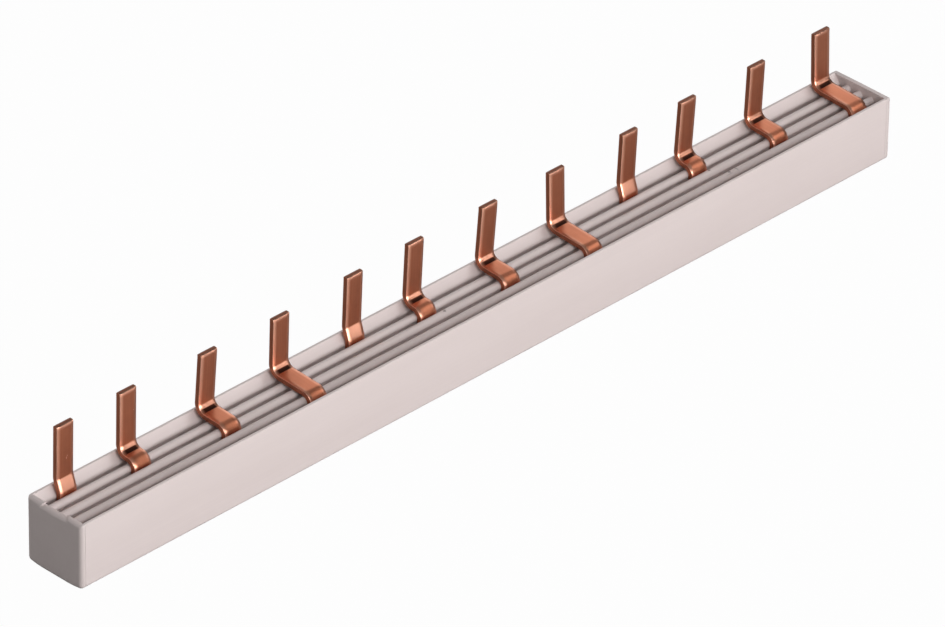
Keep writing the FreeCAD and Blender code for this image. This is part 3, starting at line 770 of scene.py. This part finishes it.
class BUSBAR_OT_stage(Operator):
    """Set up floor, lights and camera"""
    bl_idname = "busbar.stage"
    bl_label = "Stage"

    def execute(self, context):
        s = context.scene.busbar_stage
        self.floor(s)
        self.world(context.scene, s)
        for softbox in SOFTBOXES:
            self.softbox(*softbox)
        self.camera(context.scene, s)
        context.scene.view_settings.view_transform = "Standard"
        return {"FINISHED"}

    def floor(self, s):
        deselect_all()
        bpy.ops.mesh.primitive_plane_add(size=12, location=(0, 0, 0))
        floor = bpy.context.object
        floor.name = "floor"
        material = bpy.data.materials.new("pale_floor")
        material.use_nodes = True
        nodes, links = material.node_tree.nodes, material.node_tree.links
        output = nodes["Material Output"]
        nodes.remove(nodes["Principled BSDF"])
        diffuse = nodes.new("ShaderNodeBsdfDiffuse")
        diffuse.inputs["Color"].default_value = s.floor_look
        white = nodes.new("ShaderNodeEmission")
        path = nodes.new("ShaderNodeLightPath")
        place = nodes.new("ShaderNodeTexCoord")
        away = nodes.new("ShaderNodeVectorMath")
        away.operation = "LENGTH"
        links.new(place.outputs["Object"], away.inputs[0])
        far = nodes.new("ShaderNodeMapRange")
        far.inputs["From Min"].default_value = s.floor_near
        far.inputs["From Max"].default_value = s.floor_far
        far.inputs["To Min"].default_value = s.floor_gloss
        links.new(away.outputs["Value"], far.inputs["Value"])
        share = 0
        for ray, part in (("Is Camera Ray", s.floor_white), ("Is Glossy Ray", far.outputs["Result"]),
                          ("Is Transmission Ray", s.floor_white)):
            add = nodes.new("ShaderNodeMath")
            add.operation = "MULTIPLY_ADD"
            add.use_clamp = True
            links.new(path.outputs[ray], add.inputs[0])
            if isinstance(part, bpy.types.NodeSocket):
                links.new(part, add.inputs[1])
            else:
                add.inputs[1].default_value = part
            if share:
                links.new(share, add.inputs[2])
            else:
                add.inputs[2].default_value = 0
            share = add.outputs["Value"]
        mix = nodes.new("ShaderNodeMixShader")
        links.new(share, mix.inputs["Fac"])
        links.new(diffuse.outputs["BSDF"], mix.inputs[1])
        links.new(white.outputs["Emission"], mix.inputs[2])
        links.new(mix.outputs["Shader"], output.inputs["Surface"])
        floor.data.materials.append(material)

    def world(self, scene, s):
        world = bpy.data.worlds.new("studio")
        scene.world = world
        world.use_nodes = True
        nodes, links = world.node_tree.nodes, world.node_tree.links
        place = nodes.new("ShaderNodeTexCoord")
        split = nodes.new("ShaderNodeSeparateXYZ")
        height = nodes.new("ShaderNodeMapRange")
        height.inputs["From Min"].default_value = math.sin(math.radians(25))
        height.inputs["From Max"].default_value = math.sin(math.radians(65))
        blend = nodes.new("ShaderNodeMix")
        blend.data_type = "RGBA"
        blend.inputs[6].default_value = s.horizon
        blend.inputs[7].default_value = s.zenith
        links.new(place.outputs["Generated"], split.inputs["Vector"])
        links.new(split.outputs["Z"], height.inputs["Value"])
        links.new(height.outputs["Result"], blend.inputs[0])
        sky = nodes["Background"]
        links.new(blend.outputs[2], sky.inputs["Color"])
        white = nodes.new("ShaderNodeBackground")
        white.inputs["Color"].default_value = (1, 1, 1, 1)
        path = nodes.new("ShaderNodeLightPath")
        mix = nodes.new("ShaderNodeMixShader")
        links.new(path.outputs["Is Camera Ray"], mix.inputs["Fac"])
        links.new(sky.outputs["Background"], mix.inputs[1])
        links.new(white.outputs["Background"], mix.inputs[2])
        links.new(mix.outputs["Shader"], nodes["World Output"].inputs["Surface"])

    def softbox(self, name, azimuth, elevation, distance, width, height, power):
        lamp = bpy.data.lights.new(name, "AREA")
        lamp.shape = "RECTANGLE"
        lamp.size, lamp.size_y = width, height
        lamp.energy = power
        holder = bpy.data.objects.new(name, lamp)
        bpy.context.scene.collection.objects.link(holder)
        turn, rise = math.radians(azimuth), math.radians(elevation)
        across = math.cos(rise)
        place = Vector((math.sin(turn) * across, -math.cos(turn) * across, math.sin(rise))) * distance
        holder.location = place
        holder.rotation_mode = "QUATERNION"
        holder.rotation_quaternion = place.to_track_quat("Z", "Y")
        holder.visible_camera = False

    def camera(self, scene, s):
        camera = bpy.data.cameras.new("camera")
        camera.lens = s.lens
        camera.sensor_width = 36
        camera.clip_start = 0.1
        camera.clip_end = 20
        holder = bpy.data.objects.new("camera", camera)
        scene.collection.objects.link(holder)
        across = math.cos(s.elevation)
        forward = Vector((math.sin(s.azimuth) * across, math.cos(s.azimuth) * across, -math.sin(s.elevation)))
        holder.location = Vector(s.aim) - forward * s.distance
        turn = forward.to_track_quat("-Z", "Y").to_matrix().to_4x4() @ Matrix.Rotation(s.roll, 4, "Z")
        holder.rotation_mode = "QUATERNION"
        holder.rotation_quaternion = turn.to_quaternion()
        scene.camera = holder


class BUSBAR_PT_panel(Panel):
    bl_label = "Comb busbar"
    bl_idname = "BUSBAR_PT_panel"
    bl_space_type = "VIEW_3D"
    bl_region_type = "UI"
    bl_category = "Busbar"

    def draw(self, context):
        for operator in OPERATORS:
            self.layout.operator(operator.bl_idname)


OPERATORS = (BUSBAR_OT_trough, BUSBAR_OT_end_caps, BUSBAR_OT_combs, BUSBAR_OT_stage)
SETTINGS = {"busbar_trough": TroughSettings, "busbar_combs": CombSettings, "busbar_stage": StageSettings}


def register():
    for group in SETTINGS.values():
        bpy.utils.register_class(group)
    for operator in OPERATORS:
        bpy.utils.register_class(operator)
    bpy.utils.register_class(BUSBAR_PT_panel)
    for name, group in SETTINGS.items():
        setattr(bpy.types.Scene, name, PointerProperty(type=group))


def unregister():
    for name in SETTINGS:
        delattr(bpy.types.Scene, name)
    bpy.utils.unregister_class(BUSBAR_PT_panel)
    for operator in reversed(OPERATORS):
        bpy.utils.unregister_class(operator)
    for group in reversed(SETTINGS.values()):
        bpy.utils.unregister_class(group)


def main():
    register()
    bpy.ops.busbar.trough()
    bpy.ops.busbar.end_caps()
    bpy.ops.busbar.combs()
    bpy.ops.busbar.stage()


if __name__ == "__main__":
    main()
